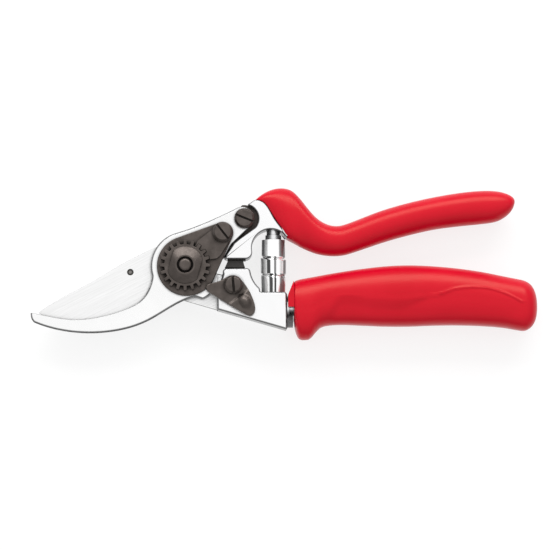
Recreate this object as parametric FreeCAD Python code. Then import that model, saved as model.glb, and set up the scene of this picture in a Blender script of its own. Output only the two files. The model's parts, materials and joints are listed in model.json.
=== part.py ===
import FreeCAD, Part
import math
import os

# Hand pruning shears with a revolving lower handle, closed and lying flat.
# Millimetres. The origin is on the pivot axis, at the back of the pivot bolt's head.
# +X runs from the pivot towards the handles, +Y towards the upper handle, +Z out of the front face.

# Levels through the thickness of the tool
BOLT_HEAD_TOP = 2.4
HANDLE_BACK = 3.0
BLADE_BACK = 8.0
BLADE_FRONT = 10.95
COUNTER_BACK = 11.0
COUNTER_FRONT = 14.5
FORGING_FRONT = 15.0
COVER_FRONT = 16.0
SEGMENT_FRONT = 18.0
NUT_TEETH_FRONT = 18.8
NUT_FRONT = 21.2
BOLT_END = 22.2
CATCH_BACK = 16.2
CATCH_FRONT = 18.7
GRIP_LEVEL = 10.0

# Pivot group
BOLT_RADIUS = 4.0
BOLT_END_RADIUS = 2.6
BUSH_RADIUS = 5.5
HEAD_RADIUS = 12.5
RUNNING_GAP = 0.04
SEAT_GAP = 0.03
COVER_RADIUS = 12.5
COVER_CENTRE = (0.7, -0.1)
TOOTH_COUNT = 20
TOOTH_TIP_RADIUS = 10.5
TOOTH_ROOT_RADIUS = 8.7
HUB_RADIUS = 7.7
HUB_CONE_HEIGHT = 2.1
HUB_ACROSS_FLATS = 12.6
HUB_FLAT_ANGLE = 15.0

# Screws
SCREW_SHANK = 2.5
SCREW_HEAD = 4.2
SEGMENT_SCREW_AT = (15.6, 13.8)
COUNTER_SCREW_AT = (24.7, 19.9)
CATCH_SCREW_AT = (20.0, -8.2)
SLOT_WIDTH = 0.9
SLOT_DEPTH = 1.4

# Blade fixings
RIVET_AT = (-23.0, -2.3)
RIVET_RADIUS = 1.35
KEY_DOWEL_AT = (9.6, -5.4)
KEY_DOWEL_RADIUS = 1.25
BLADE_SCREWS_AT = [(4.6, -11.2), (10.4, -12.6)]
BLADE_SCREW_SHANK = 1.5
BLADE_SCREW_HEAD = 2.7
BLADE_SCREW_END = 10.3
DOWEL_AT = (9.4, 13.2)
DOWEL_RADIUS = 1.5

# Handles
EDGE_TOP = (29.1, 27.8)
EDGE_LOW = (42.6, 11.6)
CLEARANCE_RADIUS = 13.3
STOP_WALL_RADIUS = 16.2
TAIL_SEAT_RADIUS = 5.95
TAIL_SHIM_FRONT = 12.4
LOBE_Y = 3.0
STRIKE_PAD_THICKNESS = 0.3
BUMPER_FOOT_Y = -0.75
BUMPER_TOP_Y = 2.6
STEP_WALL_X = 13.4
BLOCK_END_X = 42.5
SPRING_X = 36.9
SPRING_Z = 9.5
SPRING_SEAT_Y = -10.8
SPRING_TOP_Y = 11.2
SPRING_BORE = 3.4
STUD_RADIUS = 2.8

# Revolving grip
AXLE_Y = -17.4
AXLE_RADIUS = 3.2
AXLE_FLANGE_RADIUS = 4.9
BUSH_OUTER = 4.6
CORE_OUTER = 5.8
AXLE_WASHER_RADIUS = 4.2
AXLE_NUT_CORNER = 4.3
GRIP_FRONT_X = 45.4
CORE_END_X = 112.0
REAR_BUSH_X = 88.0
BUSH_LENGTH = 9.0
AXLE_ROOT_X = 31.0
AXLE_WASHER_X = REAR_BUSH_X + BUSH_LENGTH + 0.2
AXLE_NUT_X = AXLE_WASHER_X + 1.0
AXLE_NUT_HEIGHT = 4.0
STOP_INNER = 5.3
STOP_OUTER = 11.6
STOP_SECTOR_OUTER = 8.2
STOP_LUG_HALF_ANGLE = 89.0
STOP_LUG_HALF_DEPTH = 8.4
STOP_SECTOR_HALF_ANGLE = 44.0

parts = {}


def flat(point):
    return FreeCAD.Vector(point[0], point[1], 0)


def on_circle(radius, degrees, centre=(0, 0)):
    angle = math.radians(degrees)
    return (centre[0] + radius * math.cos(angle), centre[1] + radius * math.sin(angle))


def line(a, b):
    return Part.LineSegment(flat(a), flat(b)).toShape()


def arc(a, middle, b):
    return Part.Arc(flat(a), flat(middle), flat(b)).toShape()


def curve(*points):
    spline = Part.BSplineCurve()
    spline.interpolate([flat(point) for point in points])
    return spline.toShape()


def polygon(points):
    return [line(a, b) for a, b in zip(points, points[1:] + points[:1])]


def plate(edges, back, front):
    """A flat piece: a closed outline of edges, extruded from the back level to the front level."""
    face = Part.Face(Part.Wire(edges))
    face.translate(FreeCAD.Vector(0, 0, back))
    return face.extrude(FreeCAD.Vector(0, 0, front - back))


def disc(centre, radius, back, front):
    return Part.makeCylinder(radius, front - back, FreeCAD.Vector(centre[0], centre[1], back))


def rod(radius, start_x, end_x, y=AXLE_Y, z=GRIP_LEVEL):
    """A cylinder along X."""
    place = FreeCAD.Vector(start_x, y, z)
    return Part.makeCylinder(radius, end_x - start_x, place, FreeCAD.Vector(1, 0, 0))


def upright(radius, low_y, high_y, x=SPRING_X, z=SPRING_Z):
    """A cylinder along Y."""
    place = FreeCAD.Vector(x, low_y, z)
    return Part.makeCylinder(radius, high_y - low_y, place, FreeCAD.Vector(0, 1, 0))


def slot_cutter(centre, length, degrees, back, front):
    box = Part.makeBox(length, SLOT_WIDTH, front - back, FreeCAD.Vector(-length / 2, -SLOT_WIDTH / 2, back))
    box.rotate(FreeCAD.Vector(0, 0, 0), FreeCAD.Vector(0, 0, 1), degrees)
    box.translate(flat(centre))
    return box


def edges_at_level(shape, level):
    """Edges that lie flat at one level."""
    boxes = [(edge, edge.BoundBox) for edge in shape.Edges]
    return [edge for edge, box in boxes if abs(box.ZMin - level) < 0.01 and abs(box.ZMax - level) < 0.01]


def slotted_screw(centre, seat, head_height, shank_end, slot_degrees, shank=SCREW_SHANK, head=SCREW_HEAD):
    """A cheese-head screw whose rim tapers, with a straight driver slot."""
    top = seat + head_height
    taper = 0.9
    crown = Part.makeCone(head, head - taper, taper, FreeCAD.Vector(centre[0], centre[1], top - taper))
    body = disc(centre, head, seat, top - taper).fuse(crown)
    body = body.fuse(disc(centre, shank, shank_end, seat))
    slot = slot_cutter(centre, 2 * head + 1, slot_degrees, top - SLOT_DEPTH, top + 1)
    return body.cut(slot).removeSplitter()


# ---------------------------------------------------------------- blades

def counter_blade_outline():
    """The hook-shaped jaw, its round middle and its tail on the upper handle."""
    middle = 14.4
    shoulder_start = on_circle(middle, 105)
    tail_start = on_circle(5.4, 118, COUNTER_SCREW_AT)
    tail_middle = on_circle(4.2, 30, COUNTER_SCREW_AT)
    tail_end = on_circle(4.1, -38, COUNTER_SCREW_AT)
    neck_low = on_circle(13.1, 8)
    rim_end = on_circle(13.1, -45)
    lug_top = on_circle(15.6, -46)
    lug_low = on_circle(15.6, -62)
    rim_low = on_circle(13.3, -72)
    jaw_heel = on_circle(middle, 197)
    return [
        arc(jaw_heel, on_circle(middle, 150), shoulder_start),
        curve(shoulder_start, (3.2, 16.2), (13.7, 20.6), tail_start),
        arc(tail_start, tail_middle, tail_end),
        line(tail_end, (20.2, 9.9)),
        curve((20.2, 9.9), (17.6, 6.0), (16.2, 3.6), neck_low),
        arc(neck_low, on_circle(13.1, -20), rim_end),
        line(rim_end, lug_top),
        arc(lug_top, on_circle(15.6, -54), lug_low),
        line(lug_low, rim_low),
        curve(rim_low, (-1.7, -14.9), (-16.6, -23.4), (-31.5, -27.5), (-45.0, -27.8), (-57.1, -25.6),
              (-63.0, -23.5)),
        curve((-63.0, -23.5), (-63.9, -22.2), (-64.3, -19.5)),
        curve((-64.3, -19.5), (-57.1, -21.0), (-45.4, -22.5), (-35.4, -21.3), (-24.7, -18.1),
              (-18.3, -14.2), (-15.2, -9.6), jaw_heel),
    ]


def tail_shim_outline(radius):
    """A round-ended strip under the counter blade's tail, wider than the tail on its lower side."""
    high = on_circle(radius, 100, COUNTER_SCREW_AT)
    low = on_circle(radius, -38, COUNTER_SCREW_AT)
    return [
        arc(high, on_circle(radius, 30, COUNTER_SCREW_AT), low),
        line(low, (22.6, 11.65)),
        line((22.6, 11.65), (18.4, 18.4)),
        line((18.4, 18.4), high),
    ]


def make_counter_blade():
    """The front plate, relieved behind its tail for the shim."""
    blade = plate(counter_blade_outline(), COUNTER_BACK, COUNTER_FRONT)
    relief = plate(tail_shim_outline(TAIL_SEAT_RADIUS + 0.3), COUNTER_BACK - 1, TAIL_SHIM_FRONT + SEAT_GAP)
    blade = blade.cut(relief)
    for place, radius in [((0, 0), BOLT_RADIUS + SEAT_GAP), (SEGMENT_SCREW_AT, SCREW_SHANK + SEAT_GAP),
                          (COUNTER_SCREW_AT, SCREW_SHANK + SEAT_GAP), (DOWEL_AT, DOWEL_RADIUS + SEAT_GAP)]:
        blade = blade.cut(disc(place, radius, COUNTER_BACK - 1, COUNTER_FRONT + 1))
    parts["counter_blade"] = blade


def make_tail_shim():
    """The dark shim that shows as a crescent beside the counter blade's screw."""
    shim = plate(tail_shim_outline(TAIL_SEAT_RADIUS - SEAT_GAP), COUNTER_BACK, TAIL_SHIM_FRONT)
    hole = disc(COUNTER_SCREW_AT, SCREW_SHANK + SEAT_GAP, COUNTER_BACK - 1, TAIL_SHIM_FRONT + 1)
    parts["tail_shim"] = shim.cut(hole)


def cutting_edge(inset):
    """The convex sharp edge, or the line up to a given distance inside it where the grinding begins."""
    points = [(-8.0, -12.6), (-16.5, -18.0), (-25.5, -22.2), (-35.0, -24.6), (-45.0, -25.1), (-54.0, -23.4),
              (-61.2, -19.3)]
    steps = len(points) - 1
    edge = []
    for index, (x, y) in enumerate(points):
        share = math.sin(math.pi * index / steps) ** 0.7
        edge.append((x + 0.25 * inset * share, y + inset * share))
    return edge


def cutting_blade_outline(inset):
    """The broad blade's outline, with its lower edge drawn inwards by the width of the grinding."""
    tip = cutting_edge(0)[-1]
    heel = cutting_edge(0)[0]
    spine_end = on_circle(HEAD_RADIUS, 128)
    tang_low = (STEP_WALL_X, -18.2)
    return [
        curve(tip, (-55.0, -15.1), (-47.7, -11.0), (-37.1, -5.3), (-28.3, 0.1), (-20.5, 4.3), (-13.6, 7.6),
              spine_end),
        arc(spine_end, on_circle(HEAD_RADIUS, 60), on_circle(HEAD_RADIUS, -6)),
        line(on_circle(HEAD_RADIUS, -6), (STEP_WALL_X, -3.0)),
        line((STEP_WALL_X, -3.0), tang_low),
        line(tang_low, (1.0, -14.6)),
        curve((1.0, -14.6), (-3.5, -13.4), heel),
        curve(*cutting_edge(inset)),
    ]


def make_cutting_blade():
    """Flat in front, ground to its edge at the back, keyed against the handle's step."""
    edge_level = BLADE_FRONT - 0.4
    back_wire = Part.Wire(cutting_blade_outline(4.2))
    back_wire.translate(FreeCAD.Vector(0, 0, BLADE_BACK))
    edge_wire = Part.Wire(cutting_blade_outline(0))
    edge_wire.translate(FreeCAD.Vector(0, 0, edge_level))
    ground = Part.makeLoft([back_wire, edge_wire], True, True)
    blade = ground.fuse(plate(cutting_blade_outline(0), edge_level, BLADE_FRONT))
    for place, radius in [((0, 0), BUSH_RADIUS + SEAT_GAP), (RIVET_AT, RIVET_RADIUS),
                          (KEY_DOWEL_AT, KEY_DOWEL_RADIUS + SEAT_GAP)]:
        blade = blade.cut(disc(place, radius, BLADE_BACK - 1, BLADE_FRONT + 1))
    for place in BLADE_SCREWS_AT:
        blade = blade.cut(disc(place, BLADE_SCREW_SHANK + SEAT_GAP, BLADE_BACK - 1, BLADE_SCREW_END))
    parts["cutting_blade"] = blade


def make_blade_rivet():
    """A small rivet: its foot fills the hole and its crown stands in the mouth with a ring around it."""
    foot = disc(RIVET_AT, RIVET_RADIUS - SEAT_GAP, BLADE_BACK, BLADE_BACK + 1.6)
    crown = disc(RIVET_AT, RIVET_RADIUS - 0.7, BLADE_BACK + 1.6, BLADE_FRONT - 0.2)
    parts["blade_rivet"] = foot.fuse(crown).removeSplitter()


def make_blade_fasteners():
    screws = []
    for place in BLADE_SCREWS_AT:
        base = FreeCAD.Vector(place[0], place[1], HANDLE_BACK)
        head = Part.makeCone(BLADE_SCREW_HEAD, BLADE_SCREW_SHANK, 1.6, base)
        screw = head.fuse(disc(place, BLADE_SCREW_SHANK, HANDLE_BACK + 1.6, BLADE_SCREW_END))
        screw = screw.cut(slot_cutter(place, 8, 30, HANDLE_BACK - 1, HANDLE_BACK + 0.7))
        screws.append(screw.removeSplitter())
    parts["blade_screws"] = Part.makeCompound(screws)
    parts["blade_key_dowel"] = disc(KEY_DOWEL_AT, KEY_DOWEL_RADIUS, HANDLE_BACK + 1.5, BLADE_FRONT - 0.2)
    parts["counter_blade_dowel"] = disc(DOWEL_AT, DOWEL_RADIUS, HANDLE_BACK + 2, COUNTER_FRONT - 0.2)


# ---------------------------------------------------------------- pivot group

def make_pivot_bushing():
    sleeve = disc((0, 0), BUSH_RADIUS, HANDLE_BACK, BLADE_FRONT)
    bore = disc((0, 0), BOLT_RADIUS + RUNNING_GAP, HANDLE_BACK - 1, BLADE_FRONT + 1)
    parts["pivot_bushing"] = sleeve.cut(bore)


def make_pivot_bolt():
    """Flat round head at the back, plain shank in the bushing, threaded end with a rounded point."""
    head = disc((0, 0), 8.2, 0, BOLT_HEAD_TOP)
    head = head.makeChamfer(0.6, edges_at_level(head, 0))
    shank = disc((0, 0), BOLT_RADIUS, BOLT_HEAD_TOP, COUNTER_FRONT)
    end = disc((0, 0), BOLT_END_RADIUS, COUNTER_FRONT, BOLT_END)
    end = end.makeFillet(1.0, edges_at_level(end, BOLT_END))
    parts["pivot_bolt"] = head.fuse([shank, end]).removeSplitter()


def make_bolt_washer():
    ring = disc((0, 0), 7.4, BOLT_HEAD_TOP, HANDLE_BACK - 0.05)
    parts["bolt_washer"] = ring.cut(disc((0, 0), BOLT_RADIUS + SEAT_GAP, 0, HANDLE_BACK))


def tooth_outline(tip, root, half_tip, half_root):
    """A ring of straight-sided teeth, half widths in degrees."""
    points = []
    pitch = 360.0 / TOOTH_COUNT
    for tooth in range(TOOTH_COUNT):
        centre = tooth * pitch
        points.append(on_circle(root, centre - half_root))
        points.append(on_circle(tip, centre - half_tip))
        points.append(on_circle(tip, centre + half_tip))
        points.append(on_circle(root, centre + half_root))
    return polygon(points)


def make_adjusting_nut():
    """Toothed ring, a hub with two flats and a coned face, and a recess around the bolt's end."""
    ring = plate(tooth_outline(TOOTH_TIP_RADIUS, TOOTH_ROOT_RADIUS, 3.3, 4.6), COVER_FRONT, NUT_TEETH_FRONT)
    cone_back = NUT_FRONT - HUB_CONE_HEIGHT
    hub = disc((0, 0), HUB_RADIUS, NUT_TEETH_FRONT, cone_back)
    cone = Part.makeCone(HUB_RADIUS, 4.1, HUB_CONE_HEIGHT, FreeCAD.Vector(0, 0, cone_back))
    keep_corner = FreeCAD.Vector(-HUB_ACROSS_FLATS / 2, -15, NUT_TEETH_FRONT)
    keep = Part.makeBox(HUB_ACROSS_FLATS, 30, 10, keep_corner)
    keep.rotate(FreeCAD.Vector(0, 0, 0), FreeCAD.Vector(0, 0, 1), -HUB_FLAT_ANGLE)
    nut = ring.fuse(hub.fuse(cone).common(keep)).removeSplitter()
    nut = nut.cut(disc((0, 0), 3.4, NUT_FRONT - 1.8, NUT_FRONT + 1))
    bore = disc((0, 0), BOLT_END_RADIUS + SEAT_GAP, COVER_FRONT - 1, NUT_FRONT + 1)
    parts["adjusting_nut"] = nut.cut(bore)


def tangent_points(big, small, big_centre, small_centre, side):
    """Where a straight line on one side touches a big and a small circle."""
    across = small_centre[0] - big_centre[0]
    up = small_centre[1] - big_centre[1]
    bearing = math.degrees(math.atan2(up, across))
    turn = math.degrees(math.acos((big - small) / math.hypot(across, up)))
    angle = bearing + side * turn
    return on_circle(big, angle, big_centre), on_circle(small, angle, small_centre)


def make_cover_plate():
    """The teardrop plate between the counter blade and the nut."""
    top_big, top_small = tangent_points(COVER_RADIUS, 4.5, COVER_CENTRE, SEGMENT_SCREW_AT, 1)
    low_big, low_small = tangent_points(COVER_RADIUS, 4.5, COVER_CENTRE, SEGMENT_SCREW_AT, -1)
    outline = [
        arc(low_big, on_circle(COVER_RADIUS, 221, COVER_CENTRE), top_big),
        line(top_big, top_small),
        arc(top_small, on_circle(4.5, 41, SEGMENT_SCREW_AT), low_small),
        line(low_small, low_big),
    ]
    cover = plate(outline, COUNTER_FRONT, COVER_FRONT)
    cover = cover.makeChamfer(0.3, edges_at_level(cover, COVER_FRONT))
    cover = cover.cut(disc((0, 0), BOLT_END_RADIUS + SEAT_GAP, COUNTER_FRONT - 1, COVER_FRONT + 1))
    parts["cover_plate"] = cover.cut(
        disc(SEGMENT_SCREW_AT, SCREW_SHANK + SEAT_GAP, COUNTER_FRONT - 1, COVER_FRONT + 1))


def make_lock_segment():
    """The toothed piece that holds the nut where it is set."""
    inner = TOOTH_ROOT_RADIUS + 0.25
    high = on_circle(inner, 63)
    low = on_circle(inner, 14)
    outline = [
        line(high, (5.4, 10.4)),
        line((5.4, 10.4), on_circle(4.4, 165, SEGMENT_SCREW_AT)),
        arc(on_circle(4.4, 165, SEGMENT_SCREW_AT), on_circle(4.4, 50, SEGMENT_SCREW_AT),
            on_circle(4.4, -48, SEGMENT_SCREW_AT)),
        line(on_circle(4.4, -48, SEGMENT_SCREW_AT), (14.8, 4.4)),
        line((14.8, 4.4), (13.2, 2.9)),
        line((13.2, 2.9), low),
        arc(low, on_circle(inner, 40), high),
    ]
    segment = plate(outline, COVER_FRONT, SEGMENT_FRONT)
    tooth_room = tooth_outline(TOOTH_TIP_RADIUS + 0.15, inner - 0.1, 4.2, 5.6)
    segment = segment.cut(plate(tooth_room, COVER_FRONT - 1, SEGMENT_FRONT + 1))
    hole = disc(SEGMENT_SCREW_AT, SCREW_SHANK + SEAT_GAP, COVER_FRONT - 1, SEGMENT_FRONT + 1)
    segment = segment.cut(hole)
    parts["lock_segment"] = max(segment.Solids, key=lambda solid: solid.Volume)


def make_head_screws():
    screw_end = HANDLE_BACK + 1.5
    parts["segment_screw"] = slotted_screw(SEGMENT_SCREW_AT, SEGMENT_FRONT, 2.6, screw_end, -52)
    parts["counter_blade_screw"] = slotted_screw(COUNTER_SCREW_AT, COUNTER_FRONT, 3.0, screw_end, -22)


# ---------------------------------------------------------------- upper handle

def metal_edge():
    """The curve where the bright forging ends and the red grip begins."""
    return curve(EDGE_TOP, (33.2, 26.4), (37.4, 19.8), (41.0, 14.9), EDGE_LOW)


def grip_side():
    """Everything on the grip's side of the metal edge."""
    outline = [
        metal_edge(),
        line(EDGE_LOW, (EDGE_LOW[0], -40)),
        line((EDGE_LOW[0], -40), (180, -40)),
        line((180, -40), (180, 60)),
        line((180, 60), (EDGE_TOP[0], 60)),
        line((EDGE_TOP[0], 60), EDGE_TOP),
    ]
    return plate(outline, -20, 40)


def tang():
    """The bar of the forging that runs inside the red grip."""
    outline = [
        curve((31.0, 26.0), (36.5, 27.4), (42.5, 27.0), (47.5, 22.0), (54.0, 15.6), (62.0, 13.2),
              (73.0, 15.6), (92.0, 21.8)),
        line((92.0, 21.8), (94.0, 16.6)),
        curve((94.0, 16.6), (75.0, 10.8), (62.0, 8.2), (53.5, 10.0), (46.0, 14.4), (41.0, 14.6)),
        line((41.0, 14.6), (31.0, 26.0)),
    ]
    return plate(outline, GRIP_LEVEL - 3.5, GRIP_LEVEL + 3.5)


def make_upper_handle():
    """The upper forging: seat for the counter blade's tail, striking lobe, spring recess and tang."""
    arc_high = on_circle(CLEARANCE_RADIUS, 70)
    arc_low = on_circle(CLEARANCE_RADIUS, 19)
    recess_start = (27.9, 6.4)
    outline = [
        metal_edge(),
        arc(EDGE_LOW, (36.4, 15.5), recess_start),
        arc(recess_start, (27.3, 4.0), (25.4, LOBE_Y)),
        line((25.4, LOBE_Y), (17.6, LOBE_Y)),
        arc((17.6, LOBE_Y), (16.8, 3.3), (16.2, 4.0)),
        line((16.2, 4.0), arc_low),
        arc(arc_low, on_circle(CLEARANCE_RADIUS, 45), arc_high),
        line(arc_high, (6.2, 16.6)),
        line((6.2, 16.6), (13.7, 20.0)),
        line((13.7, 20.0), on_circle(5.0, 118, COUNTER_SCREW_AT)),
        arc(on_circle(5.0, 118, COUNTER_SCREW_AT), on_circle(5.0, 104, COUNTER_SCREW_AT),
            on_circle(5.0, 90, COUNTER_SCREW_AT)),
        line(on_circle(5.0, 90, COUNTER_SCREW_AT), EDGE_TOP),
    ]
    forging = plate(outline, HANDLE_BACK, FORGING_FRONT)
    seat_high = on_circle(TAIL_SEAT_RADIUS, 100, COUNTER_SCREW_AT)
    seat_low = on_circle(TAIL_SEAT_RADIUS, -38, COUNTER_SCREW_AT)
    seat_outline = [
        arc(seat_high, on_circle(TAIL_SEAT_RADIUS, 30, COUNTER_SCREW_AT), seat_low),
        line(seat_low, (20.45, 9.65)),
        curve((20.45, 9.65), (17.9, 5.8), (16.9, 4.2), (15.6, 1.5)),
        line((15.6, 1.5), (-5, 1.5)),
        line((-5, 1.5), (-5, 35)),
        line((-5, 35), seat_high),
    ]
    forging = forging.cut(plate(seat_outline, COUNTER_BACK, FORGING_FRONT + 5))
    forging = forging.fuse(tang()).removeSplitter()
    for place in (SEGMENT_SCREW_AT, COUNTER_SCREW_AT):
        forging = forging.cut(disc(place, SCREW_SHANK + SEAT_GAP, HANDLE_BACK + 1.4, FORGING_FRONT))
    forging = forging.cut(disc(DOWEL_AT, DOWEL_RADIUS + SEAT_GAP, HANDLE_BACK + 1.9, FORGING_FRONT))
    forging = forging.cut(upright(STUD_RADIUS + SEAT_GAP, 0, 20.0))
    parts["upper_handle"] = forging


def rounded_section(centre, along, half_width, half_height, level=GRIP_LEVEL, power=2.6):
    """A closed oval across a handle. along is the handle's direction in the plane."""
    length = math.hypot(along[0], along[1])
    across = (-along[1] / length, along[0] / length)
    points = []
    for step in range(16):
        angle = 2 * math.pi * step / 16
        cosine = math.cos(angle)
        sine = math.sin(angle)
        side = half_width * math.copysign(abs(cosine) ** (2 / power), cosine)
        rise = half_height * math.copysign(abs(sine) ** (2 / power), sine)
        x = centre[0] + across[0] * side
        y = centre[1] + across[1] * side
        points.append(FreeCAD.Vector(x, y, level + rise))
    spline = Part.BSplineCurve()
    spline.interpolate(points + [points[0]])
    return Part.Wire([spline.toShape()])


def smooth_stations(stations, steps=3):
    """More stations between the given ones, on a smooth curve through them."""
    result = []
    last = len(stations) - 1
    for index in range(last):
        before = stations[max(index - 1, 0)]
        here = stations[index]
        following = stations[index + 1]
        after = stations[min(index + 2, last)]
        for step in range(steps):
            t = step / steps
            values = []
            for a, b, c, d in zip(before, here, following, after):
                values.append(0.5 * (2 * b + (c - a) * t + (2 * a - 5 * b + 4 * c - d) * t ** 2
                                     + (3 * b - a - 3 * c + d) * t ** 3))
            result.append(tuple(values))
    result.append(stations[last])
    return result


def grip_body(stations):
    """A handle's body. A station is centre X and Y, direction X and Y, half width, half thickness."""
    sections = []
    for x, y, along_x, along_y, half_width, half_height in smooth_stations(stations):
        sections.append(rounded_section((x, y), (along_x, along_y), half_width, half_height))
    return Part.makeLoft(sections, True, True)


# Stations along the upper grip, as grip_body reads them
UPPER_GRIP_STATIONS = [
    (31.0, 20.5, 1.0, 0.12, 10.8, 6.6),
    (37.5, 22.1, 1.0, 0.12, 11.1, 6.9),
    (43.8, 22.0, 0.98, -0.2, 11.0, 7.0),
    (50.6, 15.6, 0.75, -0.66, 7.6, 6.8),
    (61.8, 10.8, 1.0, 0.0, 6.4, 6.6),
    (76.0, 14.7, 0.93, 0.36, 6.4, 6.8),
    (91.0, 19.3, 0.96, 0.27, 6.7, 7.2),
    (104.0, 22.5, 0.98, 0.2, 6.8, 7.4),
    (118.0, 24.9, 0.99, 0.13, 7.1, 7.4),
    (128.0, 25.7, 1.0, 0.06, 7.2, 7.1),
    (134.6, 26.4, 1.0, 0.1, 6.3, 5.8),
    (138.0, 26.8, 1.0, 0.1, 4.2, 3.8),
    (139.4, 27.0, 1.0, 0.1, 1.8, 1.6),
]


def make_upper_grip():
    """The red sleeve over the upper handle's tang."""
    sleeve = grip_body(UPPER_GRIP_STATIONS).common(grip_side())
    sleeve = sleeve.cut(tang())
    parts["upper_grip"] = max(sleeve.Solids, key=lambda solid: solid.Volume)


def make_strike_pad():
    """The thin hard strip under the lobe that meets the bumper."""
    corner = FreeCAD.Vector(17.7, LOBE_Y - STRIKE_PAD_THICKNESS, 5.0)
    parts["strike_pad"] = Part.makeBox(7.6, STRIKE_PAD_THICKNESS, 8.0, corner)


def make_upper_spring_stud():
    stud = upright(STUD_RADIUS, 13.2, 19.4).fuse(upright(3.35, SPRING_TOP_Y + 0.2, 13.2))
    parts["upper_spring_stud"] = stud.fuse(upright(2.6, 7.5, SPRING_TOP_Y + 0.2)).removeSplitter()


# ---------------------------------------------------------------- lower handle

def make_lower_handle():
    """The lower forging: a round head behind the cutting blade and the bright block in line with it."""
    head = disc((0, 0), HEAD_RADIUS, HANDLE_BACK, BLADE_BACK)
    bridge_points = [(1.0, -12.2), (2.0, -14.5), (STEP_WALL_X, -17.9), (16.0, -18.7), (16.0, -3.2),
                     (12.0, -2.4), (0, 0)]
    bridge = plate(polygon(bridge_points), HANDLE_BACK, BLADE_BACK)
    stop_high = on_circle(STOP_WALL_RADIUS, -12)
    stop_low = (STEP_WALL_X, -math.sqrt(STOP_WALL_RADIUS ** 2 - STEP_WALL_X ** 2))
    block_outline = [
        arc(stop_high, (15.9, -1.7), (17.1, -1.0)),
        line((17.1, -1.0), (25.6, -0.9)),
        arc((25.6, -0.9), (26.6, -1.2), (27.2, -2.1)),
        curve((27.2, -2.1), (28.5, -6.0), (31.2, -9.4)),
        line((31.2, -9.4), (31.3, SPRING_SEAT_Y)),
        line((31.3, SPRING_SEAT_Y), (41.2, SPRING_SEAT_Y)),
        arc((41.2, SPRING_SEAT_Y), (42.1, -11.2), (BLOCK_END_X, -12.1)),
        line((BLOCK_END_X, -12.1), (BLOCK_END_X, -26.6)),
        line((BLOCK_END_X, -26.6), (STEP_WALL_X, -18.2)),
        line((STEP_WALL_X, -18.2), stop_low),
        arc(stop_low, on_circle(STOP_WALL_RADIUS, -24), stop_high),
    ]
    block = plate(block_outline, HANDLE_BACK, FORGING_FRONT)
    block = block.makeFillet(0.9, edges_at_level(block, FORGING_FRONT))
    handle = head.fuse([bridge, block]).removeSplitter()
    handle = handle.cut(disc((0, 0), BUSH_RADIUS + SEAT_GAP, HANDLE_BACK - 1, BLADE_BACK + 1))
    handle = handle.cut(disc(CATCH_SCREW_AT, SCREW_SHANK + SEAT_GAP, HANDLE_BACK + 1.4, FORGING_FRONT + 1))
    handle = handle.cut(disc(KEY_DOWEL_AT, KEY_DOWEL_RADIUS + SEAT_GAP, HANDLE_BACK + 1.4, BLADE_BACK + 1))
    for place in BLADE_SCREWS_AT:
        base = FreeCAD.Vector(place[0], place[1], HANDLE_BACK)
        hole = BLADE_SCREW_SHANK + SEAT_GAP
        handle = handle.cut(Part.makeCone(BLADE_SCREW_HEAD + SEAT_GAP, hole, 1.6, base))
        handle = handle.cut(disc(place, hole, HANDLE_BACK - 1, BLADE_BACK + 1))
    handle = handle.cut(rod(AXLE_RADIUS + SEAT_GAP, AXLE_ROOT_X, BLOCK_END_X + 1))
    handle = handle.cut(upright(STUD_RADIUS + SEAT_GAP, -14.0, SPRING_SEAT_Y + 1))
    parts["lower_handle"] = handle


def make_rubber_bumper():
    """A block of rubber on the boss, narrower at the top, with hollow sides."""
    foot_left = (16.4, BUMPER_FOOT_Y)
    foot_right = (25.1, BUMPER_FOOT_Y)
    top_left = (17.9, BUMPER_TOP_Y)
    top_right = (24.2, BUMPER_TOP_Y)
    outline = [
        line(foot_left, foot_right),
        arc(foot_right, (24.6, 0.6), top_right),
        line(top_right, top_left),
        arc(top_left, (17.1, 0.6), foot_left),
    ]
    body = plate(outline, 4.8, 13.2)
    boss = plate(polygon([(15, -4), (27, -4), (27, -0.85), (15, -0.85)]), 0, 20)
    parts["rubber_bumper"] = body.cut(boss)


def make_lower_spring_stud():
    parts["lower_spring_stud"] = upright(STUD_RADIUS, -13.9, -6.5)


def make_volute_spring():
    """The wound strip as three telescoped bands with an open bore."""
    bands = [(5.15, SPRING_SEAT_Y, -3.0), (5.3, -3.0, 6.0), (4.95, 6.0, SPRING_TOP_Y)]
    solids = [upright(radius, low, high) for radius, low, high in bands]
    spring = solids[0].fuse(solids[1:]).removeSplitter()
    parts["volute_spring"] = spring.cut(upright(SPRING_BORE, SPRING_SEAT_Y - 1, SPRING_TOP_Y + 1))


# ---------------------------------------------------------------- thumb catch

def make_thumb_catch():
    """The locking lever: a flat plate with a raised thumb end and an oval bump."""
    tip = (8.55, -9.2)
    outline = [
        curve(tip, (9.6, -7.9), (14.2, -6.6), (17.6, -4.8), (19.8, -4.2), (22.3, -5.1), (26.0, -9.6),
              (28.7, -15.6), (29.0, -19.2), (27.4, -21.0)),
        curve((27.4, -21.0), (25.2, -20.6), (18.7, -16.8), (11.6, -12.4), (9.2, -10.7), tip),
    ]
    lever = plate(outline, CATCH_BACK, CATCH_FRONT)
    raised = plate(polygon([(19.0, -15.4), (28.0, -8.5), (40, -12), (30, -30), (16, -20)]), CATCH_FRONT - 1,
                   CATCH_FRONT + 0.8)
    raised = raised.common(plate(outline, CATCH_FRONT - 1, CATCH_FRONT + 2))
    bump = Part.makeSphere(3.6, FreeCAD.Vector(24.6, -15.6, CATCH_FRONT - 1.0))
    bump = bump.common(disc((24.6, -15.6), 5, CATCH_FRONT - 0.5, CATCH_FRONT + 6))
    lever = lever.fuse([raised, bump]).removeSplitter()
    parts["thumb_catch"] = lever.cut(
        disc(CATCH_SCREW_AT, SCREW_SHANK + RUNNING_GAP, CATCH_BACK - 1, CATCH_FRONT + 2))


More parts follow.
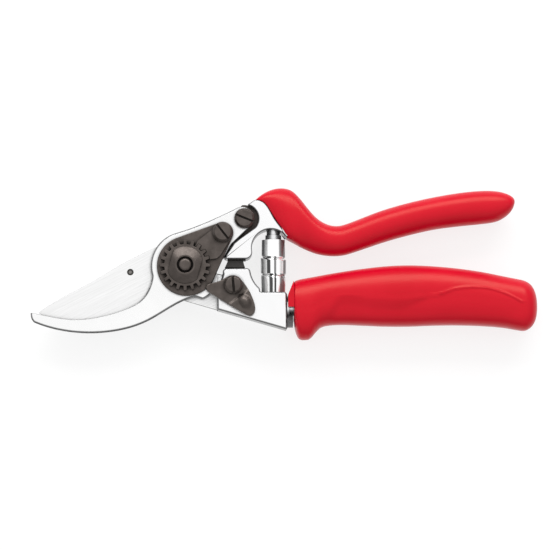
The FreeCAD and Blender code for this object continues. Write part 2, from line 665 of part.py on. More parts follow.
def make_catch_fasteners():
    seat = CATCH_FRONT + 0.05
    parts["catch_screw"] = slotted_screw(CATCH_SCREW_AT, seat, 2.6, HANDLE_BACK + 1.5, -85, head=3.85)
    washer = disc(CATCH_SCREW_AT, 4.4, FORGING_FRONT, CATCH_BACK - 0.05)
    hole = disc(CATCH_SCREW_AT, SCREW_SHANK + SEAT_GAP, FORGING_FRONT - 1, CATCH_BACK + 1)
    parts["catch_washer"] = washer.cut(hole)


# ---------------------------------------------------------------- revolving grip

def ring_sector(inner, outer, start_x, end_x, towards, half_angle):
    """Part of a collar round the axle, centred on a direction in degrees from +Y about +X."""
    collar = rod(outer, start_x, end_x).cut(rod(inner, start_x - 1, end_x + 1))
    reach = 3 * outer
    wedge_points = [FreeCAD.Vector(start_x - 1, AXLE_Y, GRIP_LEVEL)]
    for step in range(7):
        angle = math.radians(towards - half_angle + 2 * half_angle * step / 6)
        y = AXLE_Y + reach * math.cos(angle)
        z = GRIP_LEVEL + reach * math.sin(angle)
        wedge_points.append(FreeCAD.Vector(start_x - 1, y, z))
    wedge_points.append(wedge_points[0])
    wedge = Part.Face(Part.makePolygon(wedge_points)).extrude(FreeCAD.Vector(end_x - start_x + 2, 0, 0))
    return collar.common(wedge)


def make_grip_axle():
    """The steel axle: root in the block, flange on its end face, stop sector and long journal."""
    journal = rod(AXLE_RADIUS, AXLE_ROOT_X, AXLE_NUT_X + AXLE_NUT_HEIGHT + 1)
    flange = rod(AXLE_FLANGE_RADIUS, BLOCK_END_X, BLOCK_END_X + 0.9)
    sector = ring_sector(AXLE_RADIUS - 0.5, STOP_SECTOR_OUTER, BLOCK_END_X, GRIP_FRONT_X - 0.4, 180,
                         STOP_SECTOR_HALF_ANGLE)
    parts["grip_axle"] = journal.fuse([flange, sector]).removeSplitter()


def make_axle_retainers():
    washer = rod(AXLE_WASHER_RADIUS, AXLE_WASHER_X, AXLE_NUT_X)
    parts["axle_washer"] = washer.cut(rod(AXLE_RADIUS + SEAT_GAP, AXLE_WASHER_X - 1, AXLE_NUT_X + 1))
    corners = []
    for corner in range(6):
        angle = math.radians(60 * corner)
        y = AXLE_Y + AXLE_NUT_CORNER * math.cos(angle)
        z = GRIP_LEVEL + AXLE_NUT_CORNER * math.sin(angle)
        corners.append(FreeCAD.Vector(AXLE_NUT_X, y, z))
    corners.append(corners[0])
    nut = Part.Face(Part.makePolygon(corners)).extrude(FreeCAD.Vector(AXLE_NUT_HEIGHT, 0, 0))
    hole = rod(AXLE_RADIUS + SEAT_GAP, AXLE_NUT_X - 1, AXLE_NUT_X + AXLE_NUT_HEIGHT + 1)
    parts["axle_nut"] = nut.cut(hole)


def make_grip_bushes():
    for name, start in [("front_bush", GRIP_FRONT_X), ("rear_bush", REAR_BUSH_X)]:
        bush = rod(BUSH_OUTER, start, start + BUSH_LENGTH)
        parts[name] = bush.cut(rod(AXLE_RADIUS + RUNNING_GAP, start - 1, start + BUSH_LENGTH + 1))


def make_grip_core():
    core = rod(CORE_OUTER, GRIP_FRONT_X, CORE_END_X)
    parts["grip_core"] = core.cut(rod(BUSH_OUTER + SEAT_GAP, GRIP_FRONT_X - 1, CORE_END_X + 1))
    parts["grip_end_plug"] = rod(BUSH_OUTER, CORE_END_X - 6, CORE_END_X)


# Stations along the revolving grip: X, top Y, bottom Y, half thickness
LOWER_GRIP_STATIONS = [
    (45.4, -6.6, -23.5, 8.6),
    (46.2, -6.0, -26.8, 9.0),
    (47.4, -5.7, -29.7, 9.2),
    (48.6, -5.4, -30.6, 9.4),
    (52.0, -4.7, -30.7, 9.5),
    (54.4, -4.2, -28.5, 9.4),
    (57.2, -3.7, -25.9, 9.3),
    (62.0, -2.9, -24.8, 9.4),
    (70.0, -1.5, -24.6, 9.7),
    (82.0, 0.0, -25.0, 10.0),
    (98.0, 0.6, -25.1, 10.0),
    (114.0, -0.7, -24.8, 9.9),
    (129.0, -3.1, -25.3, 9.6),
    (138.5, -5.1, -26.5, 9.0),
    (143.2, -6.2, -26.0, 7.6),
    (146.2, -8.9, -23.2, 5.0),
    (147.6, -12.0, -19.4, 2.6),
]


def make_grip_cover():
    """The red cover of the revolving grip, moulded over the core."""
    stations = []
    for x, top, bottom, half_thickness in LOWER_GRIP_STATIONS:
        stations.append((x, (top + bottom) / 2, 1.0, 0.0, (top - bottom) / 2, half_thickness))
    cover = grip_body(stations)
    parts["grip_cover"] = cover.cut(rod(CORE_OUTER, GRIP_FRONT_X - 5, CORE_END_X))


def make_stop_lug():
    """The half collar at the grip's mouth that meets the axle's stop sector."""
    start_x = BLOCK_END_X + 0.4
    lug = ring_sector(STOP_INNER, STOP_OUTER, start_x, GRIP_FRONT_X, 0, STOP_LUG_HALF_ANGLE)
    depth = 2 * STOP_LUG_HALF_DEPTH
    slab_corner = FreeCAD.Vector(BLOCK_END_X - 5, -50, GRIP_LEVEL - STOP_LUG_HALF_DEPTH)
    slab = Part.makeBox(20, 60, depth, slab_corner)
    slant = [(start_x - 1, AXLE_Y + 5.3), (start_x, AXLE_Y + 5.3), (GRIP_FRONT_X, AXLE_Y + STOP_OUTER),
             (GRIP_FRONT_X, 0), (start_x - 1, 0)]
    parts["stop_lug"] = lug.common(slab).cut(plate(polygon(slant), -5, 30))


def build():
    make_counter_blade()
    make_tail_shim()
    make_cutting_blade()
    make_blade_rivet()
    make_blade_fasteners()
    make_pivot_bushing()
    make_pivot_bolt()
    make_bolt_washer()
    make_adjusting_nut()
    make_cover_plate()
    make_lock_segment()
    make_head_screws()
    make_upper_handle()
    make_upper_grip()
    make_strike_pad()
    make_upper_spring_stud()
    make_lower_handle()
    make_rubber_bumper()
    make_lower_spring_stud()
    make_volute_spring()
    make_thumb_catch()
    make_catch_fasteners()
    make_grip_axle()
    make_axle_retainers()
    make_grip_bushes()
    make_grip_core()
    make_grip_cover()
    make_stop_lug()
    os.makedirs("parts", exist_ok=True)
    for name, shape in parts.items():
        shape.exportStep("parts/" + name + ".step")
        print(name, len(shape.Solids), shape.isValid(), round(shape.Volume, 1))


build()
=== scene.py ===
import json
import math

import bmesh
import bpy
from mathutils import Matrix, Vector


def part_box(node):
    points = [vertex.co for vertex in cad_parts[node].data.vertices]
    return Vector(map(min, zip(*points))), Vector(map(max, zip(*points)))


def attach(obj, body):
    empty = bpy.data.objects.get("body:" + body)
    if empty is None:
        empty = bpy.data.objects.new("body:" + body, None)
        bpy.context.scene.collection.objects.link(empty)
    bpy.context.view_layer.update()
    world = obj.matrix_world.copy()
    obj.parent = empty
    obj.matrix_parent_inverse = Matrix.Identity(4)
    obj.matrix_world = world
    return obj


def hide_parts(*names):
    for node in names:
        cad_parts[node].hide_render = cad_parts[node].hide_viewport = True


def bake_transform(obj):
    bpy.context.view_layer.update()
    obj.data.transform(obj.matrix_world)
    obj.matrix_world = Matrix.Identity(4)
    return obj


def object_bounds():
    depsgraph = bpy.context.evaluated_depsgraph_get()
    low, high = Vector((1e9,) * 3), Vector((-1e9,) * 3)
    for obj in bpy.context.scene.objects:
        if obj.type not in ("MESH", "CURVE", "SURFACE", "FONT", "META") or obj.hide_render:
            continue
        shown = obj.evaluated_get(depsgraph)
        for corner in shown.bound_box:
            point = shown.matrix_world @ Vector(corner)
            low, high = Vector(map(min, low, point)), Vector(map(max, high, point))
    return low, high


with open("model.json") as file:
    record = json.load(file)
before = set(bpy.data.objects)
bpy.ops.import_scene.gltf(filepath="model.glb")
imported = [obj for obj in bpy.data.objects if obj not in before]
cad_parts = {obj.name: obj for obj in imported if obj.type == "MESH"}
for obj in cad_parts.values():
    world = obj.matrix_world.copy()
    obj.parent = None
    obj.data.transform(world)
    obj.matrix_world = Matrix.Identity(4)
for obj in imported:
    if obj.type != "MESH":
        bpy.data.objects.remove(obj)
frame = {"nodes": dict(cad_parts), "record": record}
cad_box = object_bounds()
nodes = frame["nodes"]

MM = 0.001

# Places and levels read from the frame
FORGING_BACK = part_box("upper_handle")[0].z
FORGING_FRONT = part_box("upper_handle")[1].z
CATCH_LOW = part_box("thumb_catch")[0]
SPRING_LOW, SPRING_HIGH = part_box("volute_spring")
GRIP_LOW, GRIP_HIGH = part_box("grip_cover")
GRIP_LEVEL = (GRIP_LOW.z + GRIP_HIGH.z) / 2
SPRING_X = (SPRING_LOW.x + SPRING_HIGH.x) / 2
SPRING_Z = (SPRING_LOW.z + SPRING_HIGH.z) / 2


# ---------------------------------------------------------------- curves and meshes

def clamp(value, low=0.0, high=1.0):
    return max(low, min(high, value))


def smooth(low, high, value):
    share = clamp((value - low) / (high - low))
    return share * share * (3 - 2 * share)


def mix(a, b, share):
    return a + (b - a) * share


def through(points, count):
    """Evenly counted points on a smooth curve through the given ones, each a tuple of numbers."""
    last = len(points) - 1
    result = []
    for step in range(count):
        place = step * last / (count - 1)
        index = min(int(place), last - 1)
        t = place - index
        before = points[max(index - 1, 0)]
        here = points[index]
        following = points[index + 1]
        after = points[min(index + 2, last)]
        values = []
        for a, b, c, d in zip(before, here, following, after):
            values.append(0.5 * (2 * b + (c - a) * t + (2 * a - 5 * b + 4 * c - d) * t ** 2
                                 + (3 * b - a - 3 * c + d) * t ** 3))
        result.append(tuple(values))
    return result


def mesh_object(name, vertices, faces, soft_angle=35):
    mesh = bpy.data.meshes.new(name)
    mesh.from_pydata([tuple(v) for v in vertices], [], faces)
    mesh.validate()
    piece = bpy.data.objects.new(name, mesh)
    bpy.context.scene.collection.objects.link(piece)
    tidy_normals(piece)
    shade(piece, soft_angle)
    return piece


def tidy_normals(piece):
    work = bmesh.new()
    work.from_mesh(piece.data)
    bmesh.ops.recalc_face_normals(work, faces=work.faces)
    work.to_mesh(piece.data)
    work.free()


def shade(piece, soft_angle):
    """Smooth shading, with edges sharper than the angle kept sharp."""
    mesh = piece.data
    mesh.polygons.foreach_set("use_smooth", [True] * len(mesh.polygons))
    work = bmesh.new()
    work.from_mesh(mesh)
    limit = math.radians(soft_angle)
    for edge in work.edges:
        edge.smooth = not (len(edge.link_faces) == 2 and edge.calc_face_angle(0) > limit)
    work.to_mesh(mesh)
    work.free()


def apply_modifiers(piece):
    bpy.context.view_layer.update()
    evaluated = piece.evaluated_get(bpy.context.evaluated_depsgraph_get())
    mesh = bpy.data.meshes.new_from_object(evaluated)
    piece.modifiers.clear()
    piece.data = mesh


def tube_of_rings(name, rings, levels=0, soft_angle=60):
    """Closed rings of points joined in order, both ends closed, then subdivided."""
    vertices = [point for ring in rings for point in ring]
    size = len(rings[0])
    faces = []
    for ring in range(len(rings) - 1):
        for step in range(size):
            a = ring * size + step
            b = ring * size + (step + 1) % size
            faces.append((a, b, b + size, a + size))
    for start, ring in ((0, rings[0]), ((len(rings) - 1) * size, rings[-1])):
        centre = sum((Vector(point) for point in ring), Vector()) / size
        vertices.append(centre)
        hub = len(vertices) - 1
        faces += [(start + step, start + (step + 1) % size, hub) for step in range(size)]
    piece = mesh_object(name, vertices, faces, soft_angle)
    if levels:
        modifier = piece.modifiers.new("round", "SUBSURF")
        modifier.levels = levels
        modifier.render_levels = levels
        apply_modifiers(piece)
        shade(piece, soft_angle)
    return piece


# Points nearer than this, in metres, are one point; faces within this many degrees are one flat face
MERGE_DISTANCE = 2e-6
FLAT_ANGLE = 0.6


def machined(node, width, segments=2, corner=28, share_at=None, held_back=True):
    """A CAD node's shape with its sharp edges broken, as a real part's are.

    share_at narrows some edges. held_back lets short edges narrow the cut, as small parts need.
    """
    source = nodes[node]
    piece = bpy.data.objects.new(node + "_finished", source.data.copy())
    bpy.context.scene.collection.objects.link(piece)
    work = bmesh.new()
    work.from_mesh(piece.data)
    bmesh.ops.remove_doubles(work, verts=work.verts, dist=MERGE_DISTANCE)
    bmesh.ops.dissolve_limit(work, angle_limit=math.radians(FLAT_ANGLE), verts=work.verts,
                             edges=work.edges, delimit={"NORMAL"})
    bmesh.ops.recalc_face_normals(work, faces=work.faces)
    weight = work.edges.layers.float.new("bevel_weight_edge")
    for edge in work.edges:
        sharp = len(edge.link_faces) == 2 and edge.calc_face_angle(0) > math.radians(corner)
        middle = (edge.verts[0].co + edge.verts[1].co) / (2 * MM)
        edge[weight] = (share_at(middle) if share_at else 1.0) if sharp else 0.0
    work.to_mesh(piece.data)
    work.free()
    shade(piece, 180)
    bevel = piece.modifiers.new("edges", "BEVEL")
    bevel.width = width * MM
    bevel.segments = segments
    bevel.limit_method = "WEIGHT"
    bevel.use_clamp_overlap = held_back
    flatten = piece.modifiers.new("flat faces stay flat", "WEIGHTED_NORMAL")
    flatten.keep_sharp = True
    apply_modifiers(piece)
    return piece


# ---------------------------------------------------------------- materials

def new_material(name):
    material = bpy.data.materials.new(name)
    material.use_nodes = True
    tree = material.node_tree
    shader = tree.nodes["Principled BSDF"]
    coordinates = tree.nodes.new("ShaderNodeTexCoord")
    return material, tree, shader, coordinates.outputs["Object"]


def noise(tree, place, scale, detail=4.0, roughness=0.55):
    texture = tree.nodes.new("ShaderNodeTexNoise")
    texture.inputs["Scale"].default_value = scale
    texture.inputs["Detail"].default_value = detail
    texture.inputs["Roughness"].default_value = roughness
    tree.links.new(place, texture.inputs["Vector"])
    return texture.outputs["Fac"]


def stretched(tree, place, scale, turn=0.0):
    """Coordinates turned about Z by some degrees and then stretched, for lines that run one way."""
    turned = tree.nodes.new("ShaderNodeMapping")
    turned.inputs["Rotation"].default_value = (0, 0, math.radians(turn))
    scaled = tree.nodes.new("ShaderNodeMapping")
    scaled.inputs["Scale"].default_value = scale
    tree.links.new(place, turned.inputs["Vector"])
    tree.links.new(turned.outputs["Vector"], scaled.inputs["Vector"])
    return scaled.outputs["Vector"]


def part_of(tree, vector, axis):
    separate = tree.nodes.new("ShaderNodeSeparateXYZ")
    tree.links.new(vector, separate.inputs["Vector"])
    return separate.outputs[axis]


def facing_up(tree):
    """0 on walls, 1 on faces square to Z, from the surface's own direction."""
    coordinates = tree.nodes.new("ShaderNodeTexCoord")
    absolute = tree.nodes.new("ShaderNodeMath")
    absolute.operation = "ABSOLUTE"
    tree.links.new(part_of(tree, coordinates.outputs["Normal"], "Z"), absolute.inputs[0])
    return absolute.outputs["Value"]


def painted_gap_shade(tree, reach, floor_tone):
    """Painted shade: darker in narrow gaps, where light doesn't reach."""
    node = tree.nodes.new("ShaderNodeAmbientOcclusion")
    node.samples = 8
    node.inputs["Distance"].default_value = reach
    return ramp(tree, node.outputs["AO"], [(0.25, grey(floor_tone)), (0.85, grey(1.0))])


def multiplied(tree, first, second):
    node = tree.nodes.new("ShaderNodeMix")
    node.data_type = "RGBA"
    node.blend_type = "MULTIPLY"
    node.inputs["Factor"].default_value = 1.0
    tree.links.new(first, node.inputs["A"])
    tree.links.new(second, node.inputs["B"])
    return node.outputs["Result"]


def ramp(tree, value, stops):
    """A colour ramp: stops are (position, colour)."""
    node = tree.nodes.new("ShaderNodeValToRGB")
    elements = node.color_ramp.elements
    while len(elements) < len(stops):
        elements.new(0.5)
    for element, (position, colour) in zip(elements, stops):
        element.position = position
        element.color = (*colour, 1.0)
    tree.links.new(value, node.inputs["Fac"])
    return node.outputs["Color"]


def grey(value):
    return (value, value, value)


def bump(tree, shader, height, strength, distance):
    node = tree.nodes.new("ShaderNodeBump")
    node.inputs["Strength"].default_value = strength
    node.inputs["Distance"].default_value = distance
    tree.links.new(height, node.inputs["Height"])
    tree.links.new(node.outputs["Normal"], shader.inputs["Normal"])


def red_grip_material():
    material, tree, shader, place = new_material("red_grip")
    cloud = noise(tree, place, 60.0)
    tree.links.new(ramp(tree, cloud, [(0.3, (0.50, 0.0, 0.014)), (0.7, (0.54, 0.001, 0.017))]),
                   shader.inputs["Base Color"])
    tree.links.new(ramp(tree, noise(tree, place, 240.0), [(0.3, grey(0.29)), (0.7, grey(0.35))]),
                   shader.inputs["Roughness"])
    shader.inputs["Specular IOR Level"].default_value = 0.26
    shader.inputs["Specular Tint"].default_value = (1.0, 0.82, 0.58, 1.0)
    bump(tree, shader, noise(tree, place, 900.0, 2.0), 0.10, 0.00006)
    return material


def dark_steel_material():
    material, tree, shader, place = new_material("blackened_steel")
    cloud = noise(tree, place, 260.0, 6.0)
    face = ramp(tree, cloud, [(0.3, (0.070, 0.059, 0.053)), (0.72, (0.118, 0.100, 0.091))])
    # painted shade: the blackened steel darkened in its gaps and recesses
    tree.links.new(multiplied(tree, face, painted_gap_shade(tree, 2.0 * MM, 0.06)), shader.inputs["Base Color"])
    shader.inputs["Metallic"].default_value = 0.9
    tree.links.new(ramp(tree, noise(tree, place, 700.0), [(0.3, grey(0.33)), (0.7, grey(0.45))]),
                   shader.inputs["Roughness"])
    bump(tree, shader, noise(tree, place, 1500.0, 4.0), 0.2, 0.00005)
    return material


# Painted shade on bare metal, by how squarely it faces front or back: the walls are painted dull and dark
WALL_SHADE_STOPS = [(0.0, grey(0.12)), (0.76, grey(0.13)), (0.92, grey(0.28)), (0.982, grey(0.86)),
              (0.998, grey(1.0))]


def metal_with_painted_shade(tree, face):
    """A face colour with painted shade, darkened on walls and in narrow gaps."""
    walls = ramp(tree, facing_up(tree), WALL_SHADE_STOPS)
    return multiplied(tree, multiplied(tree, face, walls), painted_gap_shade(tree, 1.4 * MM, 0.25))


def metal_share(tree):
    """Walls are made hardly metallic, which keeps their painted shade dark; ground and polished faces fully
    are.
    """
    return ramp(tree, facing_up(tree), [(0.90, grey(0.15)), (0.975, grey(1.0))])


def polished_material(name, colour, low, high, grain):
    """Bright on the ground and polished faces; painted shade makes the walls duller and darker."""
    material, tree, shader, place = new_material(name)
    cloud = noise(tree, place, 90.0)
    deep = tuple(channel * 0.96 for channel in colour)
    face = ramp(tree, cloud, [(0.3, deep), (0.7, colour)])
    tree.links.new(metal_with_painted_shade(tree, face), shader.inputs["Base Color"])
    tree.links.new(metal_share(tree), shader.inputs["Metallic"])
    tree.links.new(ramp(tree, noise(tree, place, 300.0), [(0.3, grey(low)), (0.7, grey(high))]),
                   shader.inputs["Roughness"])
    bump(tree, shader, noise(tree, place, grain, 5.0), 0.05, 0.00005)
    return material


def brushed_material():
    """Fine lines along the cutting blade, with painted shade dark on its thin walls."""
    material, tree, shader, place = new_material("brushed_blade")
    along = stretched(tree, place, (60.0, 3400.0, 60.0), -27.0)
    lines = noise(tree, along, 1.0, 6.0, 0.7)
    face = ramp(tree, lines, [(0.3, grey(0.74)), (0.68, grey(0.92))])
    tree.links.new(metal_with_painted_shade(tree, face), shader.inputs["Base Color"])
    tree.links.new(metal_share(tree), shader.inputs["Metallic"])
    tree.links.new(ramp(tree, lines, [(0.3, grey(0.44)), (0.7, grey(0.28))]), shader.inputs["Roughness"])
    bump(tree, shader, lines, 0.25, 0.00003)
    return material


# Painted reflections: streaks round each turn of the spring, from its left side to its right: place, tone
TOP_REFLECTION_STREAKS = [
    (0.0, 0.30), (0.10, 0.22), (0.14, 0.80), (0.23, 0.74), (0.29, 0.97), (0.70, 0.99), (0.76, 0.30),
    (0.96, 0.17),
]
MIDDLE_REFLECTION_STREAKS = [
    (0.0, 0.35), (0.08, 0.40), (0.12, 0.92), (0.22, 0.92), (0.25, 0.05), (0.36, 0.05), (0.39, 0.97),
    (0.50, 0.97), (0.53, 0.22), (0.59, 0.20), (0.62, 0.97), (0.86, 0.92), (0.90, 0.18), (1.0, 0.14),
]
LOW_REFLECTION_STREAKS = [
    (0.0, 0.50), (0.12, 0.45), (0.15, 0.93), (0.30, 0.95), (0.35, 0.05), (0.45, 0.06), (0.48, 0.92),
    (0.52, 0.92), (0.54, 0.04), (0.60, 0.04), (0.62, 0.97), (0.74, 0.95), (0.78, 0.26), (0.93, 0.30),
    (0.96, 0.85), (1.0, 0.80),
]


def unsigned(tree, value):
    """A value from -1 to 1 brought to 0 to 1."""
    node = tree.nodes.new("ShaderNodeMath")
    node.operation = "MULTIPLY_ADD"
    node.inputs[1].default_value = 0.5
    node.inputs[2].default_value = 0.5
    tree.links.new(value, node.inputs[0])
    return node.outputs["Value"]


def above(tree, value, limit):
    """1 where the value is over the limit, else 0."""
    node = tree.nodes.new("ShaderNodeMath")
    node.operation = "GREATER_THAN"
    node.inputs[1].default_value = limit
    tree.links.new(value, node.inputs[0])
    return node.outputs["Value"]


def chosen(tree, factor, first, second):
    """The first colour where the factor is 0 and the second where it is 1."""
    node = tree.nodes.new("ShaderNodeMix")
    node.data_type = "RGBA"
    tree.links.new(factor, node.inputs["Factor"])
    tree.links.new(first, node.inputs["A"])
    tree.links.new(second, node.inputs["B"])
    return node.outputs["Result"]


def chrome_material():
    """Mirror chrome with painted reflections: the dark streaks that a bent, polished strip shows along its
    turns.
    """
    material, tree, shader, place = new_material("spring_chrome")
    coordinates = tree.nodes.new("ShaderNodeTexCoord")
    height = part_of(tree, coordinates.outputs["Generated"], "Y")
    around = unsigned(tree, part_of(tree, coordinates.outputs["Normal"], "X"))
    painted_reflections = []
    for streaks in (LOW_REFLECTION_STREAKS, MIDDLE_REFLECTION_STREAKS, TOP_REFLECTION_STREAKS):
        painted_reflections.append(ramp(tree, around, [(spot, grey(tone)) for spot, tone in streaks]))
    lower = chosen(tree, above(tree, height, 0.35), painted_reflections[0], painted_reflections[1])
    whole = chosen(tree, above(tree, height, 0.68), lower, painted_reflections[2])
    lines = noise(tree, stretched(tree, place, (200.0, 900.0, 200.0)), 1.0, 3.0)
    tone = ramp(tree, lines, [(0.3, grey(0.94)), (0.7, grey(1.0))])
    tree.links.new(multiplied(tree, whole, tone), shader.inputs["Base Color"])
    shader.inputs["Metallic"].default_value = 0.6
    tree.links.new(ramp(tree, lines, [(0.3, grey(0.16)), (0.7, grey(0.24))]), shader.inputs["Roughness"])
    return material


def bronze_material():
    material, tree, shader, place = new_material("bush_bronze")
    cloud = noise(tree, place, 200.0)
    tree.links.new(ramp(tree, cloud, [(0.3, (0.50, 0.33, 0.14)), (0.7, (0.60, 0.42, 0.20))]),
                   shader.inputs["Base Color"])
    shader.inputs["Metallic"].default_value = 1.0
    tree.links.new(ramp(tree, cloud, [(0.3, grey(0.30)), (0.7, grey(0.42))]), shader.inputs["Roughness"])
    return material


def rubber_material(name, roughness):
    material, tree, shader, place = new_material(name)
    cloud = noise(tree, place, 500.0)
    tree.links.new(ramp(tree, cloud, [(0.3, (0.012, 0.010, 0.009)), (0.7, (0.022, 0.019, 0.017))]),
                   shader.inputs["Base Color"])
    low = roughness - 0.06
    high = roughness + 0.08
    tree.links.new(ramp(tree, cloud, [(0.3, grey(low)), (0.7, grey(high))]), shader.inputs["Roughness"])
    bump(tree, shader, noise(tree, place, 2200.0, 3.0), 0.3, 0.00005)
    return material


def floor_material():
    material, tree, shader, place = new_material("floor")
    cloud = noise(tree, place, 3.0)
    tree.links.new(ramp(tree, cloud, [(0.3, grey(0.22)), (0.7, grey(0.23))]), shader.inputs["Base Color"])
    shader.inputs["Roughness"].default_value = 0.9
    shader.inputs["Specular IOR Level"].default_value = 0.1
    shader.inputs["Emission Color"].default_value = (1.0, 1.0, 1.0, 1.0)
    shader.inputs["Emission Strength"].default_value = 0.77
    return material


RED = red_grip_material()
DARK = dark_steel_material()
ALLOY = polished_material("polished_alloy", (0.93, 0.93, 0.935), 0.20, 0.27, 1400.0)
STEEL = polished_material("polished_steel", (0.92, 0.92, 0.92), 0.22, 0.30, 1800.0)
BRIGHT = polished_material("bright_steel", (0.86, 0.86, 0.87), 0.20, 0.30, 1200.0)
# The blade rivet's steel is painted dark, as the shade of the hole it sits in
RIVET_SHADE = polished_material("rivet_painted_shade_steel", (0.22, 0.21, 0.20), 0.25, 0.35, 1200.0)
BRUSHED = brushed_material()
CHROME = chrome_material()
BRONZE = bronze_material()
RUBBER = rubber_material("black_rubber", 0.62)
PLASTIC = rubber_material("black_plastic", 0.45)
SLOT_MATERIALS = {
    "polished_alloy": ALLOY, "polished_steel": STEEL, "brushed_steel": BRUSHED, "bright_steel": BRIGHT,
    "bush_bronze": BRONZE, "blackened_steel": DARK, "spring_chrome": CHROME, "black_rubber": RUBBER,
    "red_grip": RED, "black_plastic": PLASTIC,
}
NODE_SLOTS = {entry["node"]: entry["material_slot"] for entry in frame["record"]["subparts"]}
NODE_BODIES = {}
for body, members in frame["record"]["behaviour"]["bodies"].items():
    for member in members:
        NODE_BODIES[member] = body


def paint(piece, slot):
    piece.data.materials.clear()
    piece.data.materials.append(SLOT_MATERIALS[slot])


def settle(piece, node):
    """A finished piece takes its CAD node's place, body and material."""
    paint(piece, NODE_SLOTS[node])
    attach(piece, NODE_BODIES[node])
    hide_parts(node)


def paint_cad_nodes():
    for name, node in nodes.items():
        node.data.materials.clear()
        node.data.materials.append(SLOT_MATERIALS[NODE_SLOTS[name]])
    # painted shade: the rivet darkened as shade in its hole
    nodes["blade_rivet"].data.materials[0] = RIVET_SHADE


# ---------------------------------------------------------------- forged, turned and stamped pieces

# Width of the broken edges, in mm
EDGE_ROUNDS = {
    "cutting_blade": 0.12,
    "cover_plate": 0.25,
    "adjusting_nut": 0.22,
    "lock_segment": 0.22,
    "segment_screw": 0.16,
    "counter_blade_screw": 0.16,
    "catch_screw": 0.16,
    "pivot_bolt": 0.2,
    "rubber_bumper": 0.4,
    "grip_axle": 0.25,
    "stop_lug": 0.3,
}


# The counter blade, in mm: halfway through its plate, its jaw's tip and heel, and its belly's deepest place
BLADE_MIDDLE_Z = 12.5
JAW_TIP_X = -63.9
JAW_HEEL = (-13.7, -4.3)
JAW_BELLY = (-45.0, -25.0)


def counter_blade_share(middle):
    """The counter blade's edges: full below the jaw, finer on the tail, nearly sharp where it shears."""
    inner = middle.y > JAW_BELLY[1] + 0.22 * abs(middle.x - JAW_BELLY[0])
    shearing = inner and JAW_TIP_X < middle.x < JAW_HEEL[0] and middle.y < JAW_HEEL[1]
    if middle.z < BLADE_MIDDLE_Z:
        return 0.3
    if shearing:
        return mix(1.0, 0.25, smooth(15.0, 27.0, -middle.x))
    return mix(1.0, 0.6, smooth(0.0, 13.0, middle.x))


def make_machined_pieces():
    for node, width in EDGE_ROUNDS.items():
        settle(machined(node, width), node)
    settle(machined("counter_blade", 0.9, 2, 28, counter_blade_share, False), "counter_blade")
    settle(machined("upper_handle", 0.6, 3, 28, None, False), "upper_handle")
    settle(machined("lower_handle", 0.45, 2, 40, None, False), "lower_handle")


# ---------------------------------------------------------------- grips

RING_STEPS = 40
FINE_RING_STEPS = 160


def section_ring(top, bottom, level, half_thickness, powers, across=None, steps=RING_STEPS):
    """A ring of points in the plane through top, bottom and the Z axis, squarer where the power is higher."""
    ring = []
    for step in range(steps):
        angle = 2 * math.pi * step / steps
        power = powers[0] if math.cos(angle) > 0 else powers[1]
        side = math.copysign(abs(math.cos(angle)) ** (2 / power), math.cos(angle))
        rise = math.copysign(abs(math.sin(angle)) ** (2 / power), math.sin(angle))
        share = (1 - side) / 2
        if across is None:
            spot = top.lerp(bottom, share)
        else:
            spot = across(share)
        ring.append(Vector((spot.x, spot.y, level + half_thickness * rise)))
    return ring


# Pairs of points on the upper grip's two outlines, in mm: top X, top Y, bottom X, bottom Y, half thickness
UPPER_PAIRS = [
    (29.2, 28.0, 42.6, 11.7, 6.5),
    (31.6, 30.1, 43.8, 10.9, 7.0),
    (35.6, 32.3, 46.0, 9.6, 7.2),
    (40.2, 33.2, 48.4, 8.1, 7.2),
    (44.6, 32.2, 51.2, 6.8, 7.1),
    (48.2, 28.7, 54.0, 5.7, 7.0),
    (51.4, 24.6, 57.2, 4.9, 6.9),
    (55.0, 20.6, 60.6, 4.5, 6.8),
    (59.4, 17.9, 63.8, 4.5, 6.7),
    (64.6, 17.2, 67.8, 5.1, 6.7),
    (71.5, 19.5, 74.8, 7.4, 6.9),
    (81.5, 23.4, 84.6, 10.7, 7.1),
    (91.5, 26.4, 94.0, 13.3, 7.3),
    (102.0, 28.9, 104.0, 15.6, 7.4),
    (113.0, 30.9, 114.4, 17.0, 7.4),
    (122.5, 32.0, 123.4, 17.9, 7.2),
    (129.0, 32.1, 129.9, 18.8, 6.9),
    (132.8, 31.6, 133.5, 20.3, 6.2),
    (135.6, 30.7, 136.2, 22.4, 5.2),
    (137.4, 29.7, 137.8, 24.6, 3.9),
    (138.4, 28.6, 138.5, 26.6, 2.2),
]
METAL_EDGE = [(29.1, 27.9), (33.2, 26.5), (37.4, 19.9), (41.0, 14.9), (42.6, 11.6)]


def make_upper_grip():
    """The S-shaped red sleeve, whose mouth follows the curved end of the bright forging."""
    edge_points = [Vector((x * MM, y * MM, 0)) for x, y in through(METAL_EDGE, 41)]
    rings = []
    pairs = through(UPPER_PAIRS, 58)
    for index, (top_x, top_y, low_x, low_y, half) in enumerate(pairs):
        top = Vector((top_x * MM, top_y * MM, 0))
        bottom = Vector((low_x * MM, low_y * MM, 0))
        travel = index / (len(pairs) - 1)
        bow = 1 - smooth(0.0, 0.16, travel)
        level = mix(GRIP_LEVEL, (FORGING_BACK + FORGING_FRONT) / 2, 1 - smooth(0.0, 0.15, travel))
        power = mix(3.6, 2.15, smooth(0.0, 0.2, travel))

        def across(share, top=top, bottom=bottom, bow=bow):
            straight = top.lerp(bottom, share)
            start_line = edge_points[0].lerp(edge_points[-1], share)
            curved = edge_points[int(round(share * 40))]
            return straight + (curved - start_line) * bow

        rings.append(section_ring(top, bottom, level, half * MM, (power, power), across))
    mouth = [mix_point(point, 0.5 * MM, (FORGING_BACK + FORGING_FRONT) / 2) for point in rings[0]]
    rings.insert(0, mouth)
    return tube_of_rings("upper_grip_sleeve", rings, 1)


def mix_point(point, depth, level):
    """A point a little further in than the rim, for a rounded mouth."""
    inward = Vector((0.0, 0.0, level - point.z))
    if inward.length > depth:
        inward = inward.normalized() * depth
    return point + inward


